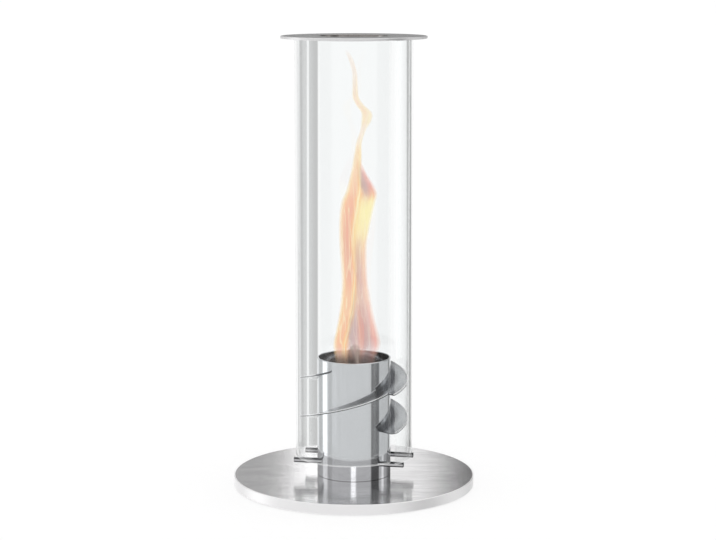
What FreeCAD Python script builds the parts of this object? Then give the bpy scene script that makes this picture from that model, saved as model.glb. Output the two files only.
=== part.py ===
"""Tabletop fireplace with a swirling flame.

A heavy round plate carries a burner tube with two helical air vanes. A chimney of two offset glass
half-shells, bonded under a flat ring, stands on two rods that cross the tube, and a fuel can stands
on the same rods inside the tube. The chimney and the can both lift straight up.

Millimetres. The origin is the middle of the surface that the foot pads stand on, +Z is up and the
front is -Y. Plan angles are counted from the front towards the right.
"""
import FreeCAD
import Part
import math
import os

from FreeCAD import Vector

# Foot pads under the plate
PAD_DIA = 18.0
PAD_THICK = 1.0
PAD_EDGE_CHAMFER = 0.25
PAD_COUNT = 4
PAD_CIRCLE_DIA = 176.0

# Base plate
PLATE_DIA = 216.0
PLATE_THICK = 9.0
PLATE_EDGE_CHAMFER = 0.4

# Burner tube, its welded floor and the screws that hold it to the plate
TUBE_WALL = 1.5
TUBE_LIP_ABOVE_CAN = 15.9
TUBE_LIP_ROUND = 0.5
FLOOR_THICK = 4.0
SCREW_DIA = 5.0
SCREW_HOLE_CLEARANCE = 0.4
SCREW_HEAD_DIA = 9.4
SCREW_TIP_GAP = 0.5
SCREW_COUNT = 3
SCREW_CIRCLE_DIA = 38.0
SOCKET_ACROSS_FLATS = 3.0
SOCKET_DEPTH = 1.8

# Two rods through the tube: they carry the chimney and the fuel can
ROD_DIA = 5.0
ROD_OVERHANG = 3.6
ROD_HEIGHT = 14.3
ROD_OFFSET = 18.3
ROD_SHIFT = 1.2
ROD_ANGLE = 11.4
ROD_END_CHAMFER = 0.4

# Chimney: two glass half-shells pushed apart along the slot line, so that a slot opens on each side
GLASS_OUTER_RADIUS = 49.9
GLASS_WALL = 3.0
GLASS_HEIGHT = 373.0
GLASS_EDGE_ROUND = 0.8
SHELL_OFFSET = 7.0
SLOT_ANGLE = 45.0
SEAL_THICK = 0.8
SEAL_INSET = 0.4
RING_DIA = 129.0
RING_OPENING_DIA = 60.0
RING_THICK = 2.2
RING_EDGE_CHAMFER = 0.3

# Helical vanes between tube and glass
VANE_PITCH = 71.0
VANE_SWEEP_ANGLE = 270.0
VANE_START_HEIGHT = 43.7
VANE_THICK = 1.5
VANE_CORNER_ROUND = 5.0
VANE_STEP_ROUND = 1.2

# Fuel can
CAN_DIA = 59.7
CAN_HEIGHT = 74.0
CAN_WALL = 0.5
CAN_FLOOR_ROUND = 1.5
CAN_RIM_THICK = 0.9
CAN_RIM_SKIRT = 4.0
CAN_MOUTH_DIA = 48.0
WOOL_DEPTH_BELOW_RIM = 9.0
WOOL_CROWN = 1.5

# Clearances
REST_GAP = 0.3
CAN_SIDE_GAP = 0.75
VANE_GAP = 0.6
WOOL_GAP = 0.3

# Heights and radii that follow from the sizes above
PLATE_TOP = PAD_THICK + PLATE_THICK
ROD_AXIS_Z = PLATE_TOP + ROD_HEIGHT
SEAT_Z = ROD_AXIS_Z + ROD_DIA / 2 + REST_GAP
CAN_RADIUS = CAN_DIA / 2
CAN_TOP = SEAT_Z + CAN_HEIGHT
WOOL_TOP = CAN_TOP - WOOL_DEPTH_BELOW_RIM
TUBE_BORE_RADIUS = CAN_RADIUS + CAN_RIM_THICK + CAN_SIDE_GAP
TUBE_RADIUS = TUBE_BORE_RADIUS + TUBE_WALL
TUBE_TOP = CAN_TOP + TUBE_LIP_ABOVE_CAN
TUBE_HEIGHT = TUBE_TOP - PLATE_TOP
GLASS_TOP = SEAT_Z + GLASS_HEIGHT
RING_BOTTOM = GLASS_TOP + SEAL_THICK
GLASS_INNER_RADIUS = GLASS_OUTER_RADIUS - GLASS_WALL
HALF_OFFSET = SHELL_OFFSET / 2

ORIGIN = Vector(0, 0, 0)
UP = Vector(0, 0, 1)
FULL_TURN = 360.0
HALF_TURN = 180.0
# Faces this close are taken as one, and a rounding takes at most this share of its wall or strip.
TOUCH = 1e-6
WALL_SHARE = 0.45
STRIP_SHARE = 0.7
# Outline corners this many degrees either side of a slot belong to the step there.
SLOT_ZONE = 10.0
# The strip is swept this many degrees past both ends of a vane and then cut to its outline.
SWEEP_MARGIN = 8.0
# The chimney and vanes are drawn with the slot line along X and then turned to the slot angle.
SLOT_TURN = SLOT_ANGLE - 90.0


def turned(shape, degrees):
    """A copy of a shape turned about the main axis."""
    copy = shape.copy()
    copy.rotate(ORIGIN, UP, degrees)
    return copy


def disc(radius, bottom, height, x=0.0, y=0.0):
    return Part.makeCylinder(radius, height, Vector(x, y, bottom))


def slab(x_low, x_high, y_low, y_high, bottom, height):
    return Part.makeBox(x_high - x_low, y_high - y_low, height, Vector(x_low, y_low, bottom))


def revolved(points):
    """A solid of revolution from (radius, height) corners."""
    corners = [Vector(radius, 0, height) for radius, height in points]
    outline = Part.makePolygon(corners + corners[:1])
    return Part.Face(outline).revolve(ORIGIN, UP, FULL_TURN)


def on_circle(count, diameter):
    """Plan positions spread evenly on a circle, the first one half a step from the +X axis."""
    step = 2 * math.pi / count
    angles = [(index + 0.5) * step for index in range(count)]
    return [(diameter / 2 * math.cos(angle), diameter / 2 * math.sin(angle)) for angle in angles]


def upright_edges(shape):
    """Straight edges that run along Z, each with its plan radius and plan angle."""
    found = []
    for edge in shape.Edges:
        first = edge.Vertexes[0].Point
        last = edge.Vertexes[-1].Point
        if math.hypot(first.x - last.x, first.y - last.y) < TOUCH < abs(first.z - last.z):
            angle = math.degrees(math.atan2(first.y, first.x)) % FULL_TURN
            found.append((edge, math.hypot(first.x, first.y), angle))
    return found


def foot_pads():
    pads = []
    for x, y in on_circle(PAD_COUNT, PAD_CIRCLE_DIA):
        radius = PAD_DIA / 2
        pad = revolved([(0, 0), (radius - PAD_EDGE_CHAMFER, 0), (radius, PAD_EDGE_CHAMFER),
                        (radius, PAD_THICK), (0, PAD_THICK)])
        pad.translate(Vector(x, y, 0))
        pads.append(pad)
    return pads


def base_plate():
    radius = PLATE_DIA / 2
    edge = PLATE_EDGE_CHAMFER
    plate = revolved([(0, PAD_THICK), (radius - edge, PAD_THICK), (radius, PAD_THICK + edge),
                      (radius, PLATE_TOP - edge), (radius - edge, PLATE_TOP), (0, PLATE_TOP)])
    hole_radius = (SCREW_DIA + SCREW_HOLE_CLEARANCE) / 2
    head_radius = SCREW_HEAD_DIA / 2
    for x, y in on_circle(SCREW_COUNT, SCREW_CIRCLE_DIA):
        hole = revolved([(0, PAD_THICK), (head_radius, PAD_THICK),
                         (hole_radius, PAD_THICK + head_radius - hole_radius),
                         (hole_radius, PLATE_TOP), (0, PLATE_TOP)])
        hole.translate(Vector(x, y, 0))
        plate = plate.cut(hole)
    return plate


def tube_floor():
    floor = disc(TUBE_BORE_RADIUS, PLATE_TOP, FLOOR_THICK)
    for x, y in on_circle(SCREW_COUNT, SCREW_CIRCLE_DIA):
        floor = floor.cut(disc(SCREW_DIA / 2, PLATE_TOP, FLOOR_THICK, x, y))
    return floor


def floor_screws():
    """Countersunk screws, flush with the underside of the plate."""
    radius = SCREW_DIA / 2
    head_radius = SCREW_HEAD_DIA / 2
    tip = PLATE_TOP + FLOOR_THICK - SCREW_TIP_GAP
    body = revolved([(0, PAD_THICK), (head_radius, PAD_THICK),
                     (radius, PAD_THICK + head_radius - radius), (radius, tip), (0, tip)])
    socket_radius = SOCKET_ACROSS_FLATS / math.sqrt(3)
    corners = [Vector(socket_radius * math.cos(math.radians(60 * k)),
                      socket_radius * math.sin(math.radians(60 * k)), PAD_THICK) for k in range(6)]
    socket = Part.Face(Part.makePolygon(corners + corners[:1])).extrude(Vector(0, 0, SOCKET_DEPTH))
    body = body.cut(socket)
    screws = []
    for x, y in on_circle(SCREW_COUNT, SCREW_CIRCLE_DIA):
        screw = body.copy()
        screw.translate(Vector(x, y, 0))
        screws.append(screw)
    return screws


def front_rod():
    """A rod across the front of the tube, its right end turned towards the front."""
    radius = ROD_DIA / 2
    half = math.sqrt(GLASS_OUTER_RADIUS ** 2 - ROD_OFFSET ** 2) + ROD_OVERHANG
    edge = ROD_END_CHAMFER
    rod = revolved([(0, -half), (radius - edge, -half), (radius, edge - half),
                    (radius, half - edge), (radius - edge, half), (0, half)])
    rod.rotate(ORIGIN, Vector(0, 1, 0), 90)
    rod.translate(Vector(-ROD_SHIFT, -ROD_OFFSET, ROD_AXIS_Z))
    return turned(rod, -ROD_ANGLE)


def burner_tube():
    outer = disc(TUBE_RADIUS, PLATE_TOP, TUBE_HEIGHT)
    tube = outer.cut(disc(TUBE_BORE_RADIUS, PLATE_TOP, TUBE_HEIGHT))
    lip = [edge for edge in tube.Edges if edge.BoundBox.ZMin > TUBE_TOP - TOUCH]
    tube = tube.makeFillet(min(TUBE_LIP_ROUND, WALL_SHARE * TUBE_WALL), lip)
    rod = front_rod()
    return tube.cut(rod).cut(turned(rod, HALF_TURN))


def vane_plan():
    """The upright prism that a vane is cut from: its outline seen from above.

    Outside it follows the inside of both glass shells, so it has a step where it passes a slot.
    """
    reach = GLASS_INNER_RADIUS - VANE_GAP
    bottom = PLATE_TOP
    height = VANE_START_HEIGHT + VANE_PITCH * (VANE_SWEEP_ANGLE / FULL_TURN + 1)
    far = 2 * GLASS_OUTER_RADIUS + SHELL_OFFSET
    rear = disc(reach, bottom, height, HALF_OFFSET)
    rear = rear.common(slab(-far, far, VANE_GAP, far, bottom, height))
    passage = slab(0, reach - HALF_OFFSET, -VANE_GAP, VANE_GAP, bottom, height)
    plan = rear.fuse([turned(rear, HALF_TURN), passage])
    gap = Part.makeCylinder(far, height, Vector(0, 0, bottom), UP, FULL_TURN - VANE_SWEEP_ANGLE)
    gap = turned(gap, VANE_SWEEP_ANGLE - HALF_TURN)
    lead_in = slab(-far, 0, -VANE_GAP, VANE_GAP, bottom, height)
    plan = plan.cut([disc(TUBE_RADIUS, bottom, height), gap, lead_in]).removeSplitter()
    ends = [edge for edge, radius, angle in upright_edges(plan)
            if radius > TUBE_RADIUS + VANE_GAP and SLOT_ZONE < angle < FULL_TURN - SLOT_ZONE]
    plan = plan.makeFillet(min(VANE_CORNER_ROUND, STRIP_SHARE * (reach - TUBE_RADIUS)), ends)
    steps = [edge for edge, radius, angle in upright_edges(plan)
             if radius > reach and not SLOT_ZONE < angle < FULL_TURN - SLOT_ZONE]
    return plan.makeFillet(VANE_STEP_ROUND, steps)


def front_vane():
    """A level strip swept up a helix, from the rear left round the front to the rear right."""
    inner_radius = TUBE_BORE_RADIUS
    outer_radius = GLASS_OUTER_RADIUS + SHELL_OFFSET
    rise = VANE_PITCH * (VANE_SWEEP_ANGLE + 2 * SWEEP_MARGIN) / FULL_TURN
    corners = [Vector(inner_radius, 0, 0), Vector(outer_radius, 0, 0),
               Vector(outer_radius, 0, VANE_THICK), Vector(inner_radius, 0, VANE_THICK)]
    strip = Part.makePolygon(corners + corners[:1])
    sheet = Part.makeHelix(VANE_PITCH, rise, TUBE_RADIUS).makePipeShell([strip], True, True)
    sheet = turned(sheet, HALF_TURN - SWEEP_MARGIN)
    start = VANE_START_HEIGHT - VANE_THICK / 2 - VANE_PITCH * SWEEP_MARGIN / FULL_TURN
    sheet.translate(Vector(0, 0, PLATE_TOP + start))
    vane = sheet.common(vane_plan()).Solids[0]
    return turned(vane, SLOT_TURN)


def half_shell(inner_radius, outer_radius, bottom, height, trim=0.0):
    """The rear half of a tube, pushed along the slot line, with its ends trimmed back."""
    shell = disc(outer_radius, bottom, height, HALF_OFFSET)
    shell = shell.cut(disc(inner_radius, bottom, height, HALF_OFFSET))
    reach = outer_radius + SHELL_OFFSET
    return shell.common(slab(-reach, reach, trim, reach, bottom, height))


def rear_glass():
    shell = half_shell(GLASS_INNER_RADIUS, GLASS_OUTER_RADIUS, SEAT_Z, GLASS_HEIGHT)
    edges = [edge for edge, radius, angle in upright_edges(shell)]
    shell = shell.makeFillet(min(GLASS_EDGE_ROUND, WALL_SHARE * GLASS_WALL), edges)
    return turned(shell, SLOT_TURN)


def rear_seal():
    """The bonded bead between the glass and the ring."""
    inner = GLASS_INNER_RADIUS + SEAL_INSET
    outer = GLASS_OUTER_RADIUS - SEAL_INSET
    return turned(half_shell(inner, outer, GLASS_TOP, SEAL_THICK, SEAL_INSET), SLOT_TURN)


def top_ring():
    inner = RING_OPENING_DIA / 2
    outer = RING_DIA / 2
    edge = RING_EDGE_CHAMFER
    top = RING_BOTTOM + RING_THICK
    return revolved([(inner + edge, RING_BOTTOM), (outer - edge, RING_BOTTOM),
                     (outer, RING_BOTTOM + edge), (outer, top - edge), (outer - edge, top),
                     (inner + edge, top), (inner, top - edge), (inner, RING_BOTTOM + edge)])


def fuel_can():
    can = disc(CAN_RADIUS, SEAT_Z, CAN_HEIGHT)
    foot = [edge for edge in can.Edges if edge.BoundBox.ZMax < SEAT_Z + TOUCH]
    can = can.makeFillet(CAN_FLOOR_ROUND, foot)
    room = disc(CAN_RADIUS - CAN_WALL, SEAT_Z + CAN_WALL, CAN_HEIGHT)
    inner_foot = [edge for edge in room.Edges if edge.BoundBox.ZMax < SEAT_Z + CAN_WALL + TOUCH]
    room = room.makeFillet(CAN_FLOOR_ROUND - CAN_WALL, inner_foot)
    return can.cut(room)


def can_rim():
    """A pressed ring that caps the can's wall and narrows its mouth."""
    mouth = CAN_MOUTH_DIA / 2
    outer = CAN_RADIUS + CAN_RIM_THICK
    top = CAN_TOP + CAN_RIM_THICK
    rim = revolved([(mouth, CAN_TOP), (CAN_RADIUS, CAN_TOP), (CAN_RADIUS, CAN_TOP - CAN_RIM_SKIRT),
                    (outer, CAN_TOP - CAN_RIM_SKIRT), (outer, top), (mouth, top)])
    crown = [edge for edge in rim.Edges if edge.BoundBox.ZMin > top - TOUCH]
    return rim.makeFillet(CAN_RIM_THICK / 2, crown)


def fuel_wool():
    """A plug of mineral wool that fills the can, slightly crowned."""
    radius = CAN_RADIUS - CAN_WALL - WOOL_GAP
    bottom = SEAT_Z + CAN_WALL
    shoulder = WOOL_TOP - WOOL_CROWN
    foot = CAN_FLOOR_ROUND
    side = Part.makePolygon([Vector(0, 0, WOOL_TOP), Vector(0, 0, bottom), Vector(radius - foot, 0, bottom),
                             Vector(radius, 0, bottom + foot), Vector(radius, 0, shoulder)])
    half = radius / 2
    sphere_radius = (radius ** 2 + WOOL_CROWN ** 2) / (2 * WOOL_CROWN)
    half_rise = math.sqrt(sphere_radius ** 2 - half ** 2) - sphere_radius
    crown = Part.Arc(Vector(radius, 0, shoulder), Vector(half, 0, WOOL_TOP + half_rise),
                     Vector(0, 0, WOOL_TOP)).toShape()
    outline = Part.Wire(side.Edges + [crown])
    return Part.Face(outline).revolve(ORIGIN, UP, FULL_TURN)


def all_pieces():
    """Every node's shape by name. What stands in pairs is made once and turned half round."""
    pads = {"foot_pad_%d" % number: pad for number, pad in enumerate(foot_pads(), 1)}
    screws = {"floor_screw_%d" % number: screw for number, screw in enumerate(floor_screws(), 1)}
    rod = front_rod()
    vane = front_vane()
    glass = rear_glass()
    seal = rear_seal()
    return {
        "base_plate": base_plate(),
        **pads,
        "burner_tube": burner_tube(),
        "tube_floor": tube_floor(),
        **screws,
        "front_support_rod": rod,
        "rear_support_rod": turned(rod, HALF_TURN),
        "front_vane": vane,
        "rear_vane": turned(vane, HALF_TURN),
        "front_glass": turned(glass, HALF_TURN),
        "rear_glass": glass,
        "front_glass_seal": turned(seal, HALF_TURN),
        "rear_glass_seal": seal,
        "top_ring": top_ring(),
        "fuel_can": fuel_can(),
        "can_rim": can_rim(),
        "fuel_wool": fuel_wool(),
    }


os.makedirs("parts", exist_ok=True)
for name, shape in all_pieces().items():
    if not shape.isValid():
        print("not valid:", name)
    shape.exportStep("parts/%s.step" % name)
    print("%-18s solids %d  volume %10.1f" % (name, len(shape.Solids), shape.Volume))
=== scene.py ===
"""Looks of the tabletop fireplace: finishes for every CAD piece, the flame, light, floor and camera."""
import math

import bmesh
import bpy
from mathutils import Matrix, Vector, noise


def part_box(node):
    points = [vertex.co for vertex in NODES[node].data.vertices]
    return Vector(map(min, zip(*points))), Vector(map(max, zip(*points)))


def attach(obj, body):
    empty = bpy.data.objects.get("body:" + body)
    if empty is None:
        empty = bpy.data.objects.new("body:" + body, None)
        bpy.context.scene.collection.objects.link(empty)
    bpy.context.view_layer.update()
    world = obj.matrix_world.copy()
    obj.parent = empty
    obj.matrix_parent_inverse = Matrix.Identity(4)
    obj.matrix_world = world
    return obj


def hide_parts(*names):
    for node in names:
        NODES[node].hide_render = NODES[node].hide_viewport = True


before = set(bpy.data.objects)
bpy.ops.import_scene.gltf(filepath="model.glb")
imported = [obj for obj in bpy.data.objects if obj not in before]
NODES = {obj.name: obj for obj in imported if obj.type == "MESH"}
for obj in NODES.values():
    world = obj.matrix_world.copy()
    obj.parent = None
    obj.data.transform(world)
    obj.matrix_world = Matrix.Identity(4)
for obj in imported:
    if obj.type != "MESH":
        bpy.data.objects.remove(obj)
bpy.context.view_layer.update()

# The camera that the photograph's ellipses fit; lengths are metres here and below
IMAGE_WIDTH = 716
SENSOR_WIDTH = 36.0
FOCAL_PIXELS = 1954.5
AXIS_PIXEL_X = 353.9
CAMERA_DISTANCE = 1.7208
CAMERA_ABOVE_PLATE = 0.4555
CAMERA_PITCH = math.radians(8.913)

# Sizes of the CAD pieces
PLATE_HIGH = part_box("base_plate")[1]
PLATE_TOP = PLATE_HIGH.z
PLATE_RADIUS = PLATE_HIGH.x
TUBE_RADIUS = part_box("burner_tube")[1].x
RING_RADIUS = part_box("top_ring")[1].x
RING_OPENING = 0.030
ROD_LOW, ROD_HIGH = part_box("front_support_rod")
ROD_AXIS_HEIGHT = (ROD_LOW.z + ROD_HIGH.z) / 2
ROD_RADIUS = (ROD_HIGH.z - ROD_LOW.z) / 2

# The half-round glass shells stand beside the axis; the vanes end a little inside the glass
SLOT_ANGLE = math.radians(45)
GLASS_LOW, GLASS_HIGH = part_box("front_glass")
GLASS_RADIUS = (GLASS_HIGH.x - GLASS_LOW.x) / (1 + math.cos(SLOT_ANGLE))
GLASS_WALL = 0.003
FRONT_SHELL_X = GLASS_LOW.x + GLASS_RADIUS
FRONT_SHELL_Y = GLASS_LOW.y + GLASS_RADIUS
VANE_GAP = 0.0006
VANE_RADIUS = GLASS_RADIUS - GLASS_WALL - VANE_GAP
VANE_HALF_PITCH = 0.0355
VANE_THICK = 0.0015
# Where the vanes' lower faces start, as a share of half a pitch
VANE_PHASE = min((v.co.z / VANE_HALF_PITCH - math.atan2(v.co.y, v.co.x) / math.pi) % 1.0
                 for v in NODES["front_vane"].data.vertices)

WHITE = (1, 1, 1, 1)


# Shader maths

class Sock:
    """A socket that adds Math nodes when it is used in an expression."""

    def __init__(self, tree, socket):
        self.tree = tree
        self.socket = socket

    def __add__(self, other):
        return self.tree.maths("ADD", self, other)

    def __radd__(self, other):
        return self.tree.maths("ADD", other, self)

    def __sub__(self, other):
        return self.tree.maths("SUBTRACT", self, other)

    def __rsub__(self, other):
        return self.tree.maths("SUBTRACT", other, self)

    def __mul__(self, other):
        return self.tree.maths("MULTIPLY", self, other)

    def __rmul__(self, other):
        return self.tree.maths("MULTIPLY", other, self)

    def __truediv__(self, other):
        return self.tree.maths("DIVIDE", self, other)

    def __pow__(self, other):
        return self.tree.maths("POWER", self, other)

    def clamped(self):
        return self.tree.node("ShaderNodeClamp", {}, self, 0.0, 1.0)


class Tree:
    """Makes nodes in a material's, a world's or a modifier's node tree by plain calls."""

    def __init__(self, node_tree):
        self.nodes = node_tree.nodes
        self.links = node_tree.links

    def feed(self, socket, value):
        """Links or sets a socket. A list holds several links; None leaves the socket as it is."""
        if isinstance(value, list):
            for each in value:
                self.feed(socket, each)
        elif isinstance(value, Sock):
            self.links.new(value.socket, socket)
        elif value is not None:
            socket.default_value = value

    def feed_named(self, node, named):
        for key, value in named.items():
            self.feed(node.inputs[key.replace("_", " ")], value)

    def node(self, kind, settings, *values, out=0, **named):
        """A node of that type: settings first, then values or links by place or by name.
        It gives the output out, or a list of outputs where out is a tuple."""
        made = self.nodes.new(kind)
        for key, value in settings.items():
            if key == "stops":
                self.set_ramp(made.color_ramp, value)
            else:
                setattr(made, key, value)
        for place, value in enumerate(values):
            self.feed(made.inputs[place], value)
        self.feed_named(made, named)
        if isinstance(out, tuple):
            return [Sock(self, made.outputs[each]) for each in out]
        return Sock(self, made.outputs[out])

    @staticmethod
    def set_ramp(ramp, stops):
        while len(ramp.elements) < len(stops):
            ramp.elements.new(1.0)
        for element, (place, colour) in zip(ramp.elements, stops):
            element.position = place
            element.color = colour

    def maths(self, operation, *values):
        return self.node("ShaderNodeMath", {"operation": operation}, *values)

    def xyz(self, coords="Object"):
        place = self.node("ShaderNodeTexCoord", {}, out=coords)
        return self.node("ShaderNodeSeparateXYZ", {}, place, out=(0, 1, 2))

    def place(self, scale=(1, 1, 1), move=(0, 0, 0)):
        """Object coordinates, scaled and moved."""
        coords = self.node("ShaderNodeTexCoord", {}, out="Object")
        return self.node("ShaderNodeMapping", {"vector_type": "POINT"}, coords, Location=move, Scale=scale)

    def noise(self, where, scale, detail=3.0, roughness=0.55):
        return self.node("ShaderNodeTexNoise", {}, Vector=where, Scale=scale, Detail=detail,
                         Roughness=roughness)

    def ramp(self, value, low, high, start=0.0, end=1.0):
        return self.node("ShaderNodeMapRange", {"clamp": True}, value, low, high, start, end)

    def window(self, value, opens, full, fades, shuts):
        """1 between full and fades, 0 before opens and past shuts."""
        return self.ramp(value, opens, full) * self.ramp(value, shuts, fades)

    def colours(self, stops, value):
        return self.node("ShaderNodeValToRGB", {"stops": stops}, value)

    def mix(self, factor, first, second):
        """A colour mix: of a Mix node's inputs, the first is the factor and the colours are 7 and 8."""
        unused = [None] * 5
        return self.node("ShaderNodeMix", {"data_type": "RGBA"}, factor, *unused, first, second, out=2)

    def bump(self, height, strength, distance):
        return self.node("ShaderNodeBump", {}, Strength=strength, Distance=distance, Height=height)


class Material(Tree):
    """A node material with one Principled shader."""

    def __init__(self, name):
        self.material = bpy.data.materials.new(name)
        self.material.use_nodes = True
        super().__init__(self.material.node_tree)
        self.shader = self.nodes["Principled BSDF"]

    def principled(self, **named):
        self.feed_named(self.shader, named)

    def layer(self, mask, **named):
        """A second Principled shader where the mask is 1."""
        second = self.node("ShaderNodeBsdfPrincipled", {}, **named)
        both = self.node("ShaderNodeMixShader", {}, mask, Sock(self, self.shader.outputs[0]), second)
        self.feed(self.nodes["Material Output"].inputs[0], both)


# Finishes

EDGE_DEPTH = 0.0012
EDGE_DULLNESS = 0.34
EDGE_COVER = 0.92
EDGE_COLOUR = (0.98, 0.975, 0.98)
FINE_TO_COARSE_LINES = 3.1
BRUSH_DEPTH = 0.0002
CLOUD_SCALE = 22.0
SMUDGE_SCALE = 30.0
SMUDGE_STRETCH = (1.0, 2.6, 1.0)
# How uneven the edge of a heat tint, soot or painted shade is
TINT_UNEVENNESS = 0.45
BRUSHED_ALONG_X = (7.0, 560.0, 560.0)
JOINT_HEIGHT = 0.0006
RUBBER_GRAIN = 1800.0
WOOL_GRAIN = 900.0
SOOT_SCALE = 90.0
# Just inside the can's wall
CAN_SOOT_RADIUS = 0.0292
# The ground strips of the glass, which also glow with painted light, fade out between these distances from
# the lower edge and the slot
GROUND_LOWER_EDGE = (0.0007, 0.0009)
GROUND_LONG_EDGE = (0.0005, 0.0007)


class Steel(Material):
    """Steel with straight brush lines: brush is how often they change along X, Y and Z."""

    def __init__(self, name, light, dark, rough, brush):
        super().__init__(name)
        self.dark = dark
        self.lines = self.noise(self.place(scale=brush), 1.0, detail=4.0, roughness=0.65)
        fine_brush = tuple(FINE_TO_COARSE_LINES * each for each in brush)
        fine_lines = self.noise(self.place(scale=fine_brush), 1.0, detail=2.0)
        self.cloud = self.noise(self.place(), CLOUD_SCALE, detail=2.0)
        streak = self.ramp(self.lines * 0.6 + fine_lines * 0.4, 0.32, 0.68)
        tone = (streak * 0.8 + self.cloud * 0.2).clamped()
        self.colour = self.mix(tone, (*dark, 1), (*light, 1))
        self.shine = self.ramp(streak, 0.0, 1.0, rough[1], rough[0])
        self.metal = 1.0
        self.x, self.y, self.z = self.xyz()
        self.reach = (self.x * self.x + self.y * self.y) ** 0.5

    def tint(self, mask, colour):
        self.colour = self.mix(mask, self.colour, (*colour, 1))

    def smudges(self, share):
        """Long patches that are darker by that share."""
        patches = self.noise(self.place(scale=SMUDGE_STRETCH), SMUDGE_SCALE, detail=5.0, roughness=0.6)
        self.tint(self.ramp(patches, 0.42, 0.62) * share, self.dark)

    def edge(self, reach, radius):
        """1 where reach comes to the radius of an edge, 0 further in."""
        return self.ramp(reach, radius - EDGE_DEPTH, radius - EDGE_DEPTH / 2)

    def pale_edge(self, mask, matt=0.0):
        """An edge that is paler and duller than the faces, and less metallic by matt. On the vanes the
        paler edge is a painted highlight.
        """
        if matt:
            self.metal = 1 - matt * mask
        self.shine = self.shine + EDGE_DULLNESS * mask
        self.tint(mask * EDGE_COVER, EDGE_COLOUR)

    def heat_tint_and_shade(self, radius, colour, full, gone):
        """A tint that fades with reach: heat tint and soot on the ring and the can, painted shade on the
        vanes; complete at the radius plus full, faded out at the radius plus gone.
        """
        uneven = (self.cloud - 0.5) * (TINT_UNEVENNESS * (gone - full))
        self.tint(self.ramp(self.reach + uneven, radius + gone, radius + full), colour)

    def finished(self, relief=0.0):
        """The material; relief is the strength of the brush lines' bump."""
        self.principled(Base_Color=self.colour, Metallic=self.metal, Roughness=self.shine)
        if relief:
            self.principled(Normal=self.bump(self.lines, relief, BRUSH_DEPTH))
        return self.material


def brushed_plate():
    """The plate, with faint smudges and a dull turned edge."""
    plate = Steel("brushed_plate", light=(0.99, 0.985, 0.99), dark=(0.70, 0.69, 0.70),
                  rough=(0.05, 0.12), brush=BRUSHED_ALONG_X)
    plate.smudges(0.55)
    plate.pale_edge(plate.edge(plate.reach, PLATE_RADIUS), matt=0.3)
    return plate.finished(relief=0.45)


def brushed_ring():
    """The ring, tinted by heat round its opening."""
    ring = Steel("brushed_ring", light=(0.86, 0.85, 0.86), dark=(0.66, 0.65, 0.66),
                 rough=(0.07, 0.14), brush=BRUSHED_ALONG_X)
    ring.pale_edge(ring.edge(ring.reach, RING_RADIUS))
    ring.heat_tint_and_shade(RING_OPENING, (0.40, 0.375, 0.36), full=0.0, gone=0.009)
    return ring.finished(relief=0.04)


def polished_tube():
    """The tube, with a thin dark joint where it stands on the plate."""
    tube = Steel("polished_tube", light=(0.80, 0.81, 0.83), dark=(0.72, 0.73, 0.75),
                 rough=(0.045, 0.10), brush=(500.0, 500.0, 7.0))
    joint = tube.ramp(tube.z, PLATE_TOP + JOINT_HEIGHT, PLATE_TOP + JOINT_HEIGHT / 2)
    tube.tint(joint, (0.42, 0.42, 0.43))
    return tube.finished()


def across_slot(x, y):
    """Distance from the upright plane that parts the two glass shells, negative at the front."""
    return y * math.cos(SLOT_ANGLE) + x * math.sin(SLOT_ANGLE)


def shell_reach(m):
    """Distance from the upright axis of the glass shell on that side of the slot plane."""
    side = m.maths("SIGN", across_slot(m.x, m.y))
    return ((m.x + side * FRONT_SHELL_X) ** 2 + (m.y + side * FRONT_SHELL_Y) ** 2) ** 0.5


def sheet_share(m):
    """Height within a vane's sheet: 0 on its lower face, 1 on its upper face."""
    margin = 0.1
    # Keeps the height above zero before its fraction is taken
    whole_turns = 2
    turn = m.maths("ARCTAN2", m.y, m.x) / math.pi
    climb = m.maths("FRACT", m.z / VANE_HALF_PITCH - turn + (margin - VANE_PHASE + whole_turns))
    return (climb - margin) / (VANE_THICK / VANE_HALF_PITCH)


def polished_vane():
    """The vanes: a painted highlight along the upper half of the outer edge, painted shade below it and
    beside the tube.
    """
    vane = Steel("polished_vane", light=(0.45, 0.46, 0.475), dark=(0.38, 0.39, 0.40),
                 rough=(0.06, 0.13), brush=(60.0, 60.0, 60.0))
    # Painted shade: the lower half of each vane's sheet is dark
    shaded_lower_half = vane.ramp(sheet_share(vane), 0.60, 0.45)
    vane.tint(shaded_lower_half, (0.13, 0.134, 0.14))
    # Painted highlight: the upper half of the outer edge is paler and less metallic
    vane.pale_edge(vane.edge(shell_reach(vane), VANE_RADIUS) * (1 - shaded_lower_half), matt=0.4)
    # Painted shade: a dark band on the vanes beside the tube
    vane.heat_tint_and_shade(TUBE_RADIUS, (0.08, 0.083, 0.09), full=0.0035, gone=0.0085)
    return vane.finished()


def polished_rod():
    """The lying rods, whose upper and lower flanks are darkened with painted shade."""
    rod = Steel("polished_rod", light=(0.80, 0.80, 0.81), dark=(0.66, 0.66, 0.67),
                rough=(0.05, 0.12), brush=(12.0, 500.0, 500.0))
    height = rod.maths("ABSOLUTE", rod.z - ROD_AXIS_HEIGHT)
    # Painted shade: the upper and lower flanks of each rod are dark
    shaded_flanks = rod.window(height, *[share * ROD_RADIUS for share in (0.2, 0.45, 0.85, 0.95)])
    rod.tint(shaded_flanks, (0.07, 0.07, 0.075))
    return rod.finished()


def plain_steel():
    """Dull steel for the tube's floor and its screws."""
    return Steel("plain_steel", light=(0.52, 0.52, 0.53), dark=(0.38, 0.38, 0.39),
                 rough=(0.32, 0.48), brush=(120.0, 120.0, 120.0)).finished()


def tinned_can():
    """The can and its rim, sooty inside."""
    can = Steel("tinned_can", light=(0.80, 0.795, 0.78), dark=(0.68, 0.675, 0.66),
                rough=(0.14, 0.22), brush=(9.0, 9.0, 320.0))
    can.heat_tint_and_shade(CAN_SOOT_RADIUS, (0.20, 0.155, 0.135), full=0.0, gone=0.0004)
    return can.finished()


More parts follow.
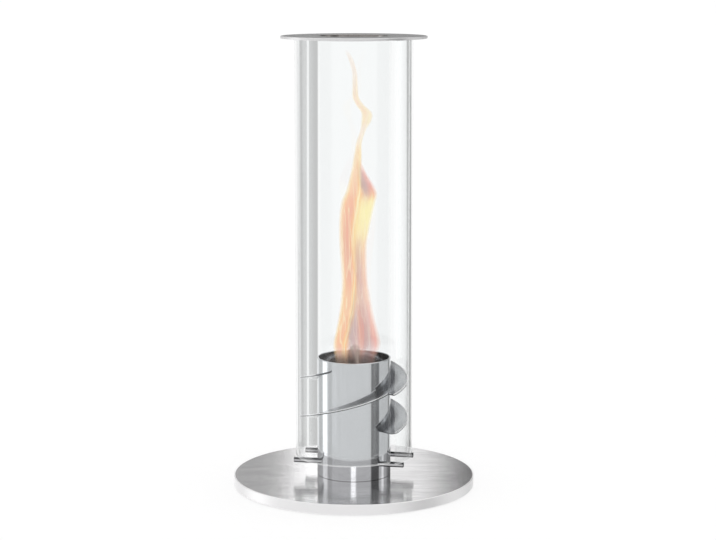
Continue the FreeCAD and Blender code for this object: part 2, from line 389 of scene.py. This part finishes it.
def clear_glass():
    """A clear wall that hardly bends light, with a reflecting coat. Its lower edge and its sawn long edges,
    which lie in one upright plane, are ground and glow with painted light."""
    m = Material("clear_glass")
    x, y, z = m.xyz()
    lower_edge = m.ramp(z, *[GLASS_LOW.z + fade for fade in GROUND_LOWER_EDGE], 1.0, 0.0)
    long_edge = m.ramp(m.maths("ABSOLUTE", across_slot(x, y)), *GROUND_LONG_EDGE, 1.0, 0.0)
    m.principled(Base_Color=(0.985, 0.995, 0.995, 1), Roughness=0.0, IOR=1.00002,
                 Transmission_Weight=1.0, Coat_Weight=1.0, Coat_Roughness=0.0, Coat_IOR=1.5)
    # The ground edges: rough and pale, and their white emission is a painted glow
    m.layer((long_edge + lower_edge).clamped(), Base_Color=(0.97, 0.98, 0.98, 1), Roughness=0.8,
            Emission_Color=WHITE, Emission_Strength=0.3, Alpha=0.06 + 0.16 * lower_edge)
    return m.material


def rubber(name, colour, rough):
    """Dull rubber with a fine grain."""
    m = Material(name)
    grain = m.noise(m.place(), RUBBER_GRAIN, detail=2.0)
    darker = [0.8 * c for c in colour]
    m.principled(Base_Color=m.mix(grain, (*darker, 1), (*colour, 1)),
                 Roughness=m.ramp(grain, 0.2, 0.8, rough - 0.08, rough + 0.08),
                 Normal=m.bump(grain, 0.2, 0.0001))
    return m.material


def mineral_wool():
    """Fibrous wool with sooty patches."""
    m = Material("mineral_wool")
    fibre = m.noise(m.place(scale=(1, 1, 3)), WOOL_GRAIN, detail=6.0, roughness=0.7)
    soot = m.noise(m.place(), SOOT_SCALE, detail=3.0)
    tint = m.mix(m.ramp(soot, 0.45, 0.75), (0.40, 0.33, 0.29, 1), (0.08, 0.07, 0.065, 1))
    m.principled(Base_Color=m.mix(m.ramp(fibre, 0.3, 0.7), tint, (0.52, 0.45, 0.40, 1)),
                 Roughness=0.95, Normal=m.bump(fibre, 0.7, 0.0008))
    return m.material


def dress(material, *names):
    for name in names:
        slots = NODES[name].data.materials
        slots.clear()
        slots.append(material)


dress(brushed_plate(), "base_plate")
dress(brushed_ring(), "top_ring")
dress(polished_tube(), "burner_tube")
dress(polished_vane(), "front_vane", "rear_vane")
dress(polished_rod(), "front_support_rod", "rear_support_rod")
dress(plain_steel(), "tube_floor", "floor_screw_1", "floor_screw_2", "floor_screw_3")
dress(tinned_can(), "fuel_can", "can_rim")
dress(clear_glass(), "front_glass", "rear_glass")
dress(rubber("glass_bond", (0.42, 0.43, 0.44), 0.5), "front_glass_seal", "rear_glass_seal")
dress(rubber("foot_rubber", (0.035, 0.035, 0.036), 0.8), *["foot_pad_%d" % k for k in range(1, 5)])


# The burner's wool

WOOL_RINGS = 26
WOOL_STEPS = 72
WOOL_TOP_DROP = 0.0022
WOOL_EDGE_DROP = 0.0012
WOOL_EDGE_SHARPNESS = 10
LUMP_HEIGHT = 0.0011
LUMPS_PER_METRE = 260
# How fast finer lumps fade, how much finer each layer is, and the layers
LUMP_LAYERS = (0.7, 2.1, 5)
FIBRE_INPUTS = (("Fibres per square metre", "NodeSocketFloat", 260000.0),
                ("Fibre length", "NodeSocketFloat", 0.007),
                ("Fibre radius", "NodeSocketFloat", 0.00009),
                ("Seed", "NodeSocketInt", 7))
FIBRE_STEPS = 4
FIBRE_SIDES = 3
# The place of the bend along, beside and above the fibre, as shares of its length
FIBRE_BEND = (0.5, 0.3, 0.25)
FIBRE_TURN_LOW = (-0.2, -0.25, 0)
FIBRE_TURN_HIGH = (0.2, 0.1, 6.283)


def linked(name, data):
    made = bpy.data.objects.new(name, data)
    bpy.context.scene.collection.objects.link(made)
    return made


def fibre_tree(material):
    """Loose fibres on a surface: bent hairs at random turns, joined to the surface they lie on."""
    group = bpy.data.node_groups.new("wool_fibres", "GeometryNodeTree")
    group.interface.new_socket("Geometry", in_out="INPUT", socket_type="NodeSocketGeometry")
    inputs = {}
    for name, kind, _ in FIBRE_INPUTS:
        inputs[name] = group.interface.new_socket(name, in_out="INPUT", socket_type=kind).identifier
    group.interface.new_socket("Geometry", in_out="OUTPUT", socket_type="NodeSocketGeometry")
    tree = Tree(group)
    surface, density, length, radius, seed = tree.node("NodeGroupInput", {}, out=(0, 1, 2, 3, 4))
    points = tree.node("GeometryNodeDistributePointsOnFaces", {}, Mesh=surface, Density=density, Seed=seed)
    middle = tree.node("ShaderNodeCombineXYZ", {}, *[length * share for share in FIBRE_BEND])
    end = tree.node("ShaderNodeCombineXYZ", {}, length, 0.0, 0.0)
    hair = tree.node("GeometryNodeCurveQuadraticBezier", {}, FIBRE_STEPS, (0, 0, 0), middle, end)
    profile = tree.node("GeometryNodeCurvePrimitiveCircle", {}, Resolution=FIBRE_SIDES, Radius=radius)
    body = tree.node("GeometryNodeCurveToMesh", {}, hair, profile, Fill_Caps=True)
    turn = tree.node("FunctionNodeRandomValue", {"data_type": "FLOAT_VECTOR"},
                     FIBRE_TURN_LOW, FIBRE_TURN_HIGH, Seed=seed)
    hairs = tree.node("GeometryNodeInstanceOnPoints", {}, Points=points, Instance=body, Rotation=turn)
    joined = tree.node("GeometryNodeJoinGeometry", {}, [hairs, surface])
    real = tree.node("GeometryNodeRealizeInstances", {}, joined)
    done = tree.node("GeometryNodeSetMaterial", {}, Geometry=real, Material=material)
    tree.feed(group.nodes.new("NodeGroupOutput").inputs[0], done)
    return group, inputs


def wool_body(low, high):
    """A closed plug with an uneven top, from rings round the axis."""
    radius = high.x
    top = high.z - WOOL_TOP_DROP
    mesh = bmesh.new()
    loops = []
    for ring in range(1, WOOL_RINGS + 1):
        share = ring / WOOL_RINGS
        loop = []
        for step in range(WOOL_STEPS):
            turn = 2 * math.pi * step / WOOL_STEPS
            spot = Vector((math.cos(turn), math.sin(turn), 0)) * radius * share
            lump = noise.fractal(spot * LUMPS_PER_METRE, *LUMP_LAYERS) * LUMP_HEIGHT
            edge = WOOL_EDGE_DROP * share ** WOOL_EDGE_SHARPNESS
            loop.append(mesh.verts.new((spot.x, spot.y, top + lump - edge)))
        loops.append(loop)
    centre = mesh.verts.new((0, 0, top))
    floor_loop = [mesh.verts.new((v.co.x, v.co.y, low.z)) for v in loops[-1]]
    for step in range(WOOL_STEPS):
        after = (step + 1) % WOOL_STEPS
        mesh.faces.new((centre, loops[0][step], loops[0][after]))
        for inner, outer in zip(loops, loops[1:] + [floor_loop]):
            mesh.faces.new((inner[step], outer[step], outer[after], inner[after]))
    mesh.faces.new(floor_loop[::-1])
    plain = bpy.data.meshes.new("wool_plug")
    mesh.to_mesh(plain)
    mesh.free()
    return plain


def wool_plug():
    """A packed wool plug with a fibrous top, kept inside the space of the fuel solid."""
    low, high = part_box("fuel_wool")
    plug = linked("wool_plug", wool_body(low, high))
    group, inputs = fibre_tree(mineral_wool())
    fibres = plug.modifiers.new("fibres", "NODES")
    fibres.node_group = group
    for name, _, value in FIBRE_INPUTS:
        fibres[inputs[name]] = value
    seen = plug.evaluated_get(bpy.context.evaluated_depsgraph_get())
    plug.data = bpy.data.meshes.new_from_object(seen)
    plug.modifiers.clear()
    for vertex in plug.data.vertices:
        vertex.co.z = min(max(vertex.co.z, low.z), high.z)
        reach = math.hypot(vertex.co.x, vertex.co.y)
        if reach > high.x:
            vertex.co.x *= high.x / reach
            vertex.co.y *= high.x / reach
    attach(plug, "can_unit")
    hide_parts("fuel_wool")


# The flame: stations along each tongue, in millimetres from the plate top on the axis. A station is
# height, sideways, forwards, half width, turn in degrees, opacity, share of pink, share of yellow-white
GOLDEN_TONGUE = (
    (84, -7, 3, 5, -10, 0.0, 0.3, 0), (104, -10.5, 3, 6.5, -5, 0.10, 0.4, 0.05),
    (118, -11.5, 2, 7.5, 0, 0.85, 0, 0.1), (131, -9, 1, 7.5, 5, 0.95, 0, 0.15),
    (147, -5.5, 0, 8, 10, 0.92, 0, 0.2), (163, -4, -1, 8, 12, 0.88, 0.05, 0.2),
    (179, -3, -2, 8.5, 5, 0.9, 0.1, 0), (206, -4, -3, 9.5, -10, 0.9, 0.2, 0),
    (228, -3.5, -3, 10.5, -15, 0.95, 0.1, 0), (246, -1.5, -2, 10.5, -10, 0.9, 0, 0.05),
    (257, 1, -1, 8.5, 0, 0.8, 0, 0.2), (272, 2, 0, 5.5, 10, 0.7, 0, 0.3),
    (286, 3, 0, 4, 15, 0.5, 0, 0.4), (299, 4, 0, 3, 20, 0.0, 0, 0.4))
ROSE_TONGUE = (
    (84, 8, -3, 5, 10, 0.0, 1, 0), (104, 11.5, -3, 8.5, 5, 0.09, 1, 0),
    (118, 14, -2, 10.5, 0, 0.6, 1, 0), (131, 12.5, -1, 9.5, -5, 0.7, 1, 0),
    (147, 9.5, 0, 8.5, -10, 0.6, 0.9, 0), (163, 7.5, 1, 7.5, -12, 0.6, 0.6, 0),
    (179, 6, 2, 6.5, -5, 0.65, 0.7, 0), (206, 5, 3, 7, 10, 0.65, 0.6, 0.3),
    (220, 6.5, 3, 7.5, 15, 0.8, 0.2, 0.8), (235, 9, 2, 8, 15, 0.9, 0, 1),
    (246, 11, 1, 8.5, 10, 0.9, 0, 0.85), (254, 12.5, 0, 8.5, 0, 0.85, 0.6, 0.1),
    (262, 10, -1, 8, -10, 0.8, 1, 0), (272, 6.5, -1, 5.5, -20, 0.6, 1, 0),
    (284, 3.5, 0, 3, -25, 0.0, 0.7, 0))
PALE_TIP = (
    (274, 3, 0, 4, 20, 0.0, 0, 0.3), (287, 4, 0, 3.4, 20, 0.42, 0, 0.5),
    (299, 4.5, 0, 3, 10, 0.38, 0, 0.5), (310, 8, 1, 3, 0, 0.26, 0.1, 0.4),
    (319, 11, 1, 5, -10, 0.5, 0, 0.6), (326, 11, 0, 5.5, -20, 0.5, 0, 0.5),
    (333, 5, -1, 4, -10, 0.4, 0, 0.4), (340, 1.5, -1, 3.2, 0, 0.4, 0.1, 0.4),
    (352, 1, 0, 2.8, 10, 0.3, 0.3, 0.4), (361, 0.5, 0, 2.6, 20, 0.22, 0.4, 0.3),
    (372, -2.5, 1, 2.4, 10, 0.2, 0.3, 0.3), (381, -7, 2, 2, 0, 0.0, 0.3, 0.3))
ROSE_HEART = (
    (82, 1, 0, 10, 90, 0.0, 1, 0), (104, 1, 0, 14, 60, 0.05, 1, 0),
    (118, 1, 0, 15, 30, 0.55, 1, 0), (135, 2, 0, 12, 10, 0.68, 1, 0),
    (150, 2.5, 0, 8, 0, 0.5, 0.9, 0), (166, 3, 0, 5, -10, 0.3, 0.7, 0.2),
    (182, 2.5, 0, 3, -20, 0.0, 0.5, 0.3))
GREY_CURL = (
    (88, 3.5, 8, 2, 0, 0.0, 0, 0), (98, 3.2, 8, 2.4, 10, 0.5, 0, 0),
    (105, 2.4, 7, 2.6, 20, 0.55, 0, 0), (110, 1.4, 6, 4.2, 10, 0.6, 0, 0),
    (114, 0.6, 5, 5.6, 0, 0.6, 0, 0), (117, 1, 4, 4.4, -10, 0.5, 0, 0),
    (119, 2, 3, 2, -20, 0.0, 0, 0))
FLAME_TONGUES = (GOLDEN_TONGUE, ROSE_TONGUE, PALE_TIP, ROSE_HEART, GREY_CURL)
MILLIMETRE = 0.001
ROWS_PER_STATION = 7
COLUMNS_ACROSS = 16
TONGUE_BULGE = 0.45

# Colours across a tongue, from its left side to its right side
GOLD_ACROSS = ((0.0, (1.0, 0.78, 0.42, 1)), (0.14, (1.0, 0.66, 0.30, 1)), (0.26, (0.97, 0.52, 0.34, 1)),
               (0.54, (0.93, 0.46, 0.32, 1)), (0.66, (1.0, 0.58, 0.28, 1)), (0.73, (1.0, 0.92, 0.56, 1)),
               (0.80, (1.0, 0.50, 0.20, 1)), (1.0, (1.0, 0.66, 0.40, 1)))
ROSE_ACROSS = ((0.0, (1.0, 0.60, 0.32, 1)), (0.12, (1.0, 0.46, 0.24, 1)), (0.26, (0.50, 0.35, 0.34, 1)),
               (0.50, (0.58, 0.35, 0.33, 1)), (0.76, (0.86, 0.34, 0.27, 1)), (1.0, (1.0, 0.62, 0.48, 1)))
YELLOW_WHITE = (1.0, 0.90, 0.46, 1)
THREAD_COLOUR = (1.0, 0.88, 0.58, 1)
SMOKE_DARK = (0.14, 0.105, 0.085, 1)
SMOKE_LIGHT = (0.34, 0.26, 0.22, 1)


def blend(before, start, end, after, t):
    """A value on the way from start to end that keeps the neighbours' direction."""
    slope = end - before
    bend = 2 * before - 5 * start + 4 * end - after
    twist = 3 * start - before - 3 * end + after
    return 0.5 * (2 * start + slope * t + bend * t * t + twist * t ** 3)


def between(stations, share):
    """A smooth curve through the stations, at a share of its length."""
    last = len(stations) - 1
    place = share * last
    step = min(int(place), last - 1)
    near = [stations[min(max(step + k, 0), last)] for k in (-1, 0, 1, 2)]
    return [blend(*values, place - step) for values in zip(*near)]


def flame_glow():
    """See-through glowing gas, coloured across each tongue, with fine bright threads."""
    m = Material("flame_glow")
    across = m.node("ShaderNodeSeparateXYZ", {}, m.node("ShaderNodeUVMap", {"uv_map": "across"}))
    tongue, grey_share = m.node("ShaderNodeAttribute", {"attribute_name": "tongue"}, out=("Color", "Alpha"))
    opacity, pink, bright = m.node("ShaderNodeSeparateColor", {}, tongue, out=(0, 1, 2))
    waver = m.noise(m.place(scale=(1, 1, 0.22)), 120.0, detail=3.0)
    wavy = across + (waver - 0.5) * 0.30
    glow = m.mix(pink, m.colours(GOLD_ACROSS, wavy), m.colours(ROSE_ACROSS, wavy))
    glow = m.mix(bright, glow, YELLOW_WHITE)
    thread = m.noise(m.place(scale=(1, 1, 0.10), move=(0.3, 0.1, 0)), 210.0, detail=1.0)
    from_thread = m.maths("ABSOLUTE", thread - 0.5)
    glow = m.mix(m.ramp(from_thread, 0.0, 0.035, 0.75, 0.0) * (1 - pink * 0.6), glow, THREAD_COLOUR)
    glow = m.mix(grey_share, glow, m.mix(m.ramp(wavy, 0.25, 0.55), SMOKE_DARK, SMOKE_LIGHT))
    cover = m.window(across, 0.0, 0.24, 0.76, 1.0) * opacity * m.ramp(waver, 0.2, 0.7, 0.55, 1.0)
    m.principled(Base_Color=(0, 0, 0, 1), Roughness=1.0, Specular_IOR_Level=0.0, Emission_Color=glow,
                 Emission_Strength=1.0, Alpha=cover.clamped())
    return m.material


def tongue_ring(height, x, forward, half, turn):
    """Points round a tongue at one height, each with its share of the way across."""
    turn = math.radians(turn)
    ring = []
    for step in range(2 * COLUMNS_ACROSS):
        share = 1 - abs(step - COLUMNS_ACROSS) / COLUMNS_ACROSS
        side = 1 if step <= COLUMNS_ACROSS else -1
        reach = half * (2 * share - 1)
        bulge = side * TONGUE_BULGE * half * (1 - (2 * share - 1) ** 2)
        point = (MILLIMETRE * (x + reach * math.cos(turn) + bulge * math.sin(turn)),
                 MILLIMETRE * (reach * math.sin(turn) - bulge * math.cos(turn) - forward),
                 PLATE_TOP + MILLIMETRE * height)
        ring.append((point, share))
    return ring


def flame():
    """Closed, see-through tongues that twist round each other. Only a look: it is no solid."""
    around = 2 * COLUMNS_ACROSS
    points, faces, across, kinds = [], [], [], []
    for stations in FLAME_TONGUES:
        rows = ROWS_PER_STATION * len(stations)
        grey_share = 1.0 if stations is GREY_CURL else 0.0
        start = len(points)
        for row in range(rows + 1):
            *shape, opacity, pink, bright = between(stations, row / rows)
            kind = (max(opacity, 0), max(pink, 0), max(bright, 0), grey_share)
            for step, (point, share) in enumerate(tongue_ring(*shape)):
                points.append(point)
                across.append((share, row / rows))
                kinds.append(kind)
                if row:
                    here = start + row * around + step
                    after = start + row * around + (step + 1) % around
                    faces.append((here - around, after - around, after, here))
        # Both ends are closed
        faces.append(range(start + around - 1, start - 1, -1))
        faces.append(range(len(points) - around, len(points)))
    mesh = bpy.data.meshes.new("flame")
    mesh.from_pydata(points, [], faces)
    uv = mesh.uv_layers.new(name="across")
    for loop in mesh.loops:
        uv.data[loop.index].uv = across[loop.vertex_index]
    tongue = mesh.attributes.new("tongue", "FLOAT_COLOR", "POINT")
    for index, kind in enumerate(kinds):
        tongue.data[index].color = kind
    mesh.materials.append(flame_glow())
    mesh.shade_smooth()
    made = linked("flame", mesh)
    made.visible_shadow = False
    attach(made, "can_unit")


wool_plug()
flame()


# Floor, light and camera

FLOOR_HALF = 90.0

# Panels round the object below the horizon: (degrees from the front towards the right, brightness)
STUDIO_WALL = ((-180, 1.0), (-146, 1.0), (-139, 0.60), (-119, 0.62), (-111, 1.6), (-97, 1.6),
               (-88, 0.62), (-75, 0.62), (-71, 0.75), (54, 0.73), (57, 0.19), (84, 0.19), (88, 0.70),
               (133, 0.70), (137, 0.25), (147, 0.25), (153, 1.0), (180, 1.0))
# The same above the horizon
STUDIO_WALL_HIGH = ((-180, 0.5), (-118, 0.5), (-111, 0.95), (-97, 0.95), (-88, 0.45), (-75, 0.48),
                    (-71, 0.60), (54, 0.58), (57, 0.10), (84, 0.10), (88, 0.55), (96, 0.6), (100, 1.1),
                    (106, 1.1), (110, 0.5), (133, 0.4), (141, 0.2), (180, 0.5))
# The wall behind, above the horizon: (sideways over backwards, brightness)
STUDIO_BACK = ((-0.064, 0.44), (-0.050, 0.43), (-0.032, 0.46), (-0.026, 1.7), (-0.020, 1.7),
               (-0.012, 0.9), (0.030, 0.96), (0.040, 0.90), (0.050, 0.42), (0.058, 0.16))
BACK_REACH = 0.07
# Grey flags far behind, which show through the glass only: (sideways over forwards, brightness)
STUDIO_FLAGS = ((-0.0400, 1.0), (-0.0285, 1.0), (-0.0281, 0.565), (-0.0242, 0.565), (-0.0238, 0.90),
                (-0.0232, 0.90), (-0.0229, 0.545), (-0.0186, 0.545), (-0.0183, 1.0), (0.0270, 1.0),
                (0.0273, 0.30), (0.0290, 0.30), (0.0293, 1.0), (0.0400, 1.0))
FLAG_REACH = 0.04
# How far a direction points backwards where the wall behind takes over
BACK_STARTS = (0.5, 0.75)
# Rise of a direction: from the lower panels to the upper ones, where the dark band on the wall behind
# ends, and where the ceiling begins
HORIZON = (-0.03, 0.01)
HORIZON_BAND_ENDS = (0.10, 0.17)
CEILING_STARTS = (0.45, 0.7)
HORIZON_BAND = 0.30
CEILING = 1.0
# A strip light at the front, in degrees and rise, that shows only in second reflections outside the glass,
# where tube and plate mirror each other
STRIP_ANGLES = (-10.8, -7.2, 4.32, 7.92)
STRIP_RISE = (0.10, 0.16, 0.26, 0.30)
STRIP_LIGHT = 1.9
SECOND_MIRROR = (1.4, 1.6)
# A darker band in reflections that pass through the glass, by rise
SHADE_RISE = (0.2605, 0.2670, 0.29, 0.34)
SHADE_LEVEL = 0.14
SHADE_SHARE = 0.45
SMALLEST_DIVISOR = 0.001


def white_floor():
    """A wide pale floor that reflections and the glass don't see."""
    corners = [(FLOOR_HALF * x, FLOOR_HALF * y, 0) for x, y in ((-1, -1), (1, -1), (1, 1), (-1, 1))]
    mesh = bpy.data.meshes.new("floor")
    mesh.from_pydata(corners, [], [(0, 1, 2, 3)])
    m = Material("floor_white")
    m.principled(Base_Color=(0.4, 0.4, 0.4, 1), Roughness=1.0, Specular_IOR_Level=0.0,
                 Emission_Color=WHITE, Emission_Strength=0.62)
    mesh.materials.append(m.material)
    floor = linked("floor", mesh)
    floor.visible_glossy = False
    floor.visible_transmission = False


def camera():
    """The photograph's view."""
    data = bpy.data.cameras.new("camera")
    data.sensor_width = SENSOR_WIDTH
    data.lens = FOCAL_PIXELS * SENSOR_WIDTH / IMAGE_WIDTH
    data.shift_x = (IMAGE_WIDTH / 2 - AXIS_PIXEL_X) / IMAGE_WIDTH
    made = linked("camera", data)
    made.location = (0, -CAMERA_DISTANCE, PLATE_TOP + CAMERA_ABOVE_PLATE)
    made.rotation_euler = (math.pi / 2 - CAMERA_PITCH, 0, 0)
    bpy.context.scene.camera = made


def grey(level):
    return (level, level, level, 1)


def greys(pairs, low, high):
    """Ramp stops for brightness at places between low and high."""
    return [((place - low) / (high - low), grey(level)) for place, level in pairs]


def strips(tree, pairs, sideways, forwards, reach):
    """Upright strips of brightness by sideways over forwards, within reach of straight ahead."""
    slant = sideways / tree.maths("MAXIMUM", forwards, SMALLEST_DIVISOR)
    return tree.colours(greys(pairs, -reach, reach), tree.ramp(slant, -reach, reach))


def mirrored_panels(tree, x, y, z, mirrored, through_glass):
    """What reflections see in a direction: x is to the right, y backwards, z up."""
    turn = tree.maths("ARCTAN2", x, 0 - y) / (2 * math.pi) + 0.5
    wall = tree.colours(greys(STUDIO_WALL, -180, 180), turn)
    high = tree.colours(greys(STUDIO_WALL_HIGH, -180, 180), turn)
    back = strips(tree, STUDIO_BACK, x, y, BACK_REACH)
    back = tree.mix(tree.ramp(z, *HORIZON_BAND_ENDS), grey(HORIZON_BAND), back)
    high = tree.mix(tree.ramp(y, *BACK_STARTS), high, back)
    strip_turns = [0.5 + angle / 360 for angle in STRIP_ANGLES]
    strip = tree.window(turn, *strip_turns) * tree.window(z, *STRIP_RISE)
    strip = strip * (1 - through_glass) * tree.ramp(mirrored, *SECOND_MIRROR)
    high = tree.mix(strip, high, grey(STRIP_LIGHT))
    shade = tree.window(z, *SHADE_RISE) * through_glass * SHADE_SHARE
    high = tree.mix(shade, high, grey(SHADE_LEVEL))
    high = tree.mix(tree.ramp(z, *CEILING_STARTS), high, grey(CEILING))
    return tree.mix(tree.ramp(z, *HORIZON), wall, high)


def studio():
    """A soft world: plain white, but panels in reflections and grey flags through the glass."""
    world = bpy.data.worlds.new("studio")
    world.use_nodes = True
    tree = Tree(world.node_tree)
    # In a world, Generated is the direction that is looked at
    x, y, z = tree.xyz("Generated")
    mirrored, passed = tree.node("ShaderNodeLightPath", {}, out=("Glossy Depth", "Transmission Depth"))
    through_glass = passed.clamped()
    panels = mirrored_panels(tree, x, y, z, mirrored, through_glass)
    forwards = y * math.cos(CAMERA_PITCH) - z * math.sin(CAMERA_PITCH)
    flags = tree.mix(through_glass, WHITE, strips(tree, STUDIO_FLAGS, x, forwards, FLAG_REACH))
    light = tree.mix(mirrored.clamped(), flags, panels)
    tree.feed(world.node_tree.nodes["Background"].inputs[0], light)
    bpy.context.scene.world = world
    bpy.context.scene.view_settings.view_transform = "Standard"


white_floor()
studio()
camera()
